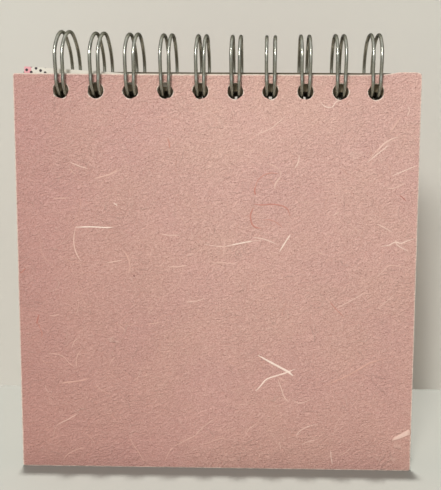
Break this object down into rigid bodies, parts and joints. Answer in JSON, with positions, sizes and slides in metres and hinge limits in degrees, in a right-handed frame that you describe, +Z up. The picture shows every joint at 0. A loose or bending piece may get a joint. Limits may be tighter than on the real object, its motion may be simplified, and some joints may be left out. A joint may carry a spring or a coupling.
{
  "type": "wire-bound scrapbook",
  "caption": "Square scrapbook with a fibre-paper cover, bound along its top edge with a twin-loop wire, so that the cover and card pages turn over the loops.",
  "frame": {"origin": "middle of the box's underside, where the covers' lower edges stand", "axes": "+Z up from the standing edges to the loops, front cover towards -Y, +X along the binding to the right as seen from the front"},
  "size_m": [0.148, 0.0264, 0.1643],
  "materials": {
    "fibre_paper": "matte, handmade, with cream and red fibres",
    "greyboard": "raw cut edge",
    "lining_paper": "matte",
    "binding_wire": "satin",
    "page_card": "matte dark card",
    "printed_card": "smooth white"
  },
  "bodies": {
    "back_cover": {"back_cover_board": "greyboard", "back_cover_paper": "fibre_paper", "back_cover_liner": "lining_paper", "binding_wire": "binding_wire"},
    "front_cover": {"front_cover_board": "greyboard", "front_cover_paper": "fibre_paper", "front_cover_liner": "lining_paper"},
    "printed_card": {"printed_card": "printed_card"},
    "page_01": {"page_01": "page_card"},
    "page_02": {"page_02": "page_card"},
    "page_03": {"page_03": "page_card"},
    "page_04": {"page_04": "page_card"},
    "page_05": {"page_05": "page_card"},
    "page_06": {"page_06": "page_card"},
    "page_07": {"page_07": "page_card"},
    "page_08": {"page_08": "page_card"},
    "page_09": {"page_09": "page_card"},
    "page_10": {"page_10": "page_card"},
    "page_11": {"page_11": "page_card"},
    "page_12": {"page_12": "page_card"},
    "page_13": {"page_13": "page_card"},
    "page_14": {"page_14": "page_card"},
    "page_15": {"page_15": "page_card"},
    "page_16": {"page_16": "page_card"},
    "page_17": {"page_17": "page_card"},
    "page_18": {"page_18": "page_card"},
    "page_19": {"page_19": "page_card"},
    "page_20": {"page_20": "page_card"}
  },
  "joints": [
    {"name": "front_cover_hinge", "type": "hinge", "parent": "back_cover", "child": "front_cover", "pos_m": [0, 0, 0.15107], "axis": [-1, 0, 0], "range_deg": [0, 210]},
    {"name": "printed_card_hinge", "type": "hinge", "parent": "back_cover", "child": "printed_card", "pos_m": [0, 0, 0.15107], "axis": [-1, 0, 0], "range_deg": [0, 200.47]},
    {"name": "page_01_hinge", "type": "hinge", "parent": "back_cover", "child": "page_01", "pos_m": [0, 0, 0.15107], "axis": [-1, 0, 0], "range_deg": [0, 190.92]},
    {"name": "page_02_hinge", "type": "hinge", "parent": "back_cover", "child": "page_02", "pos_m": [0, 0, 0.15107], "axis": [-1, 0, 0], "range_deg": [0, 181.37]},
    {"name": "page_03_hinge", "type": "hinge", "parent": "back_cover", "child": "page_03", "pos_m": [0, 0, 0.15107], "axis": [-1, 0, 0], "range_deg": [0, 171.83]},
    {"name": "page_04_hinge", "type": "hinge", "parent": "back_cover", "child": "page_04", "pos_m": [0, 0, 0.15107], "axis": [-1, 0, 0], "range_deg": [0, 162.28]},
    {"name": "page_05_hinge", "type": "hinge", "parent": "back_cover", "child": "page_05", "pos_m": [0, 0, 0.15107], "axis": [-1, 0, 0], "range_deg": [0, 152.74]},
    {"name": "page_06_hinge", "type": "hinge", "parent": "back_cover", "child": "page_06", "pos_m": [0, 0, 0.15107], "axis": [-1, 0, 0], "range_deg": [0, 143.19]},
    {"name": "page_07_hinge", "type": "hinge", "parent": "back_cover", "child": "page_07", "pos_m": [0, 0, 0.15107], "axis": [-1, 0, 0], "range_deg": [0, 133.65]},
    {"name": "page_08_hinge", "type": "hinge", "parent": "back_cover", "child": "page_08", "pos_m": [0, 0, 0.15107], "axis": [-1, 0, 0], "range_deg": [0, 124.1]},
    {"name": "page_09_hinge", "type": "hinge", "parent": "back_cover", "child": "page_09", "pos_m": [0, 0, 0.15107], "axis": [-1, 0, 0], "range_deg": [0, 114.56]},
    {"name": "page_10_hinge", "type": "hinge", "parent": "back_cover", "child": "page_10", "pos_m": [0, 0, 0.15107], "axis": [-1, 0, 0], "range_deg": [0, 105.01]},
    {"name": "page_11_hinge", "type": "hinge", "parent": "back_cover", "child": "page_11", "pos_m": [0, 0, 0.15107], "axis": [-1, 0, 0], "range_deg": [0, 95.47]},
    {"name": "page_12_hinge", "type": "hinge", "parent": "back_cover", "child": "page_12", "pos_m": [0, 0, 0.15107], "axis": [-1, 0, 0], "range_deg": [0, 85.92]},
    {"name": "page_13_hinge", "type": "hinge", "parent": "back_cover", "child": "page_13", "pos_m": [0, 0, 0.15107], "axis": [-1, 0, 0], "range_deg": [0, 76.37]},
    {"name": "page_14_hinge", "type": "hinge", "parent": "back_cover", "child": "page_14", "pos_m": [0, 0, 0.15107], "axis": [-1, 0, 0], "range_deg": [0, 66.83]},
    {"name": "page_15_hinge", "type": "hinge", "parent": "back_cover", "child": "page_15", "pos_m": [0, 0, 0.15107], "axis": [-1, 0, 0], "range_deg": [0, 57.28]},
    {"name": "page_16_hinge", "type": "hinge", "parent": "back_cover", "child": "page_16", "pos_m": [0, 0, 0.15107], "axis": [-1, 0, 0], "range_deg": [0, 47.74]},
    {"name": "page_17_hinge", "type": "hinge", "parent": "back_cover", "child": "page_17", "pos_m": [0, 0, 0.15107], "axis": [-1, 0, 0], "range_deg": [0, 38.19]},
    {"name": "page_18_hinge", "type": "hinge", "parent": "back_cover", "child": "page_18", "pos_m": [0, 0, 0.15107], "axis": [-1, 0, 0], "range_deg": [0, 28.65]},
    {"name": "page_19_hinge", "type": "hinge", "parent": "back_cover", "child": "page_19", "pos_m": [0, 0, 0.15107], "axis": [-1, 0, 0], "range_deg": [0, 19.1]},
    {"name": "page_20_hinge", "type": "hinge", "parent": "back_cover", "child": "page_20", "pos_m": [0, 0, 0.15107], "axis": [-1, 0, 0], "range_deg": [0, 9.55]}
  ],
  "couplings": [
    {"joint": "printed_card_hinge", "follows": "front_cover_hinge", "ratio": 0.95454},
    {"joint": "page_01_hinge", "follows": "front_cover_hinge", "ratio": 0.90909},
    {"joint": "page_02_hinge", "follows": "front_cover_hinge", "ratio": 0.86364},
    {"joint": "page_03_hinge", "follows": "front_cover_hinge", "ratio": 0.81818},
    {"joint": "page_04_hinge", "follows": "front_cover_hinge", "ratio": 0.77273},
    {"joint": "page_05_hinge", "follows": "front_cover_hinge", "ratio": 0.72727},
    {"joint": "page_06_hinge", "follows": "front_cover_hinge", "ratio": 0.68182},
    {"joint": "page_07_hinge", "follows": "front_cover_hinge", "ratio": 0.63636},
    {"joint": "page_08_hinge", "follows": "front_cover_hinge", "ratio": 0.59091},
    {"joint": "page_09_hinge", "follows": "front_cover_hinge", "ratio": 0.54546},
    {"joint": "page_10_hinge", "follows": "front_cover_hinge", "ratio": 0.5},
    {"joint": "page_11_hinge", "follows": "front_cover_hinge", "ratio": 0.45454},
    {"joint": "page_12_hinge", "follows": "front_cover_hinge", "ratio": 0.40909},
    {"joint": "page_13_hinge", "follows": "front_cover_hinge", "ratio": 0.36364},
    {"joint": "page_14_hinge", "follows": "front_cover_hinge", "ratio": 0.31818},
    {"joint": "page_15_hinge", "follows": "front_cover_hinge", "ratio": 0.27273},
    {"joint": "page_16_hinge", "follows": "front_cover_hinge", "ratio": 0.22727},
    {"joint": "page_17_hinge", "follows": "front_cover_hinge", "ratio": 0.18182},
    {"joint": "page_18_hinge", "follows": "front_cover_hinge", "ratio": 0.13636},
    {"joint": "page_19_hinge", "follows": "front_cover_hinge", "ratio": 0.090909},
    {"joint": "page_20_hinge", "follows": "front_cover_hinge", "ratio": 0.045455}
  ]
}
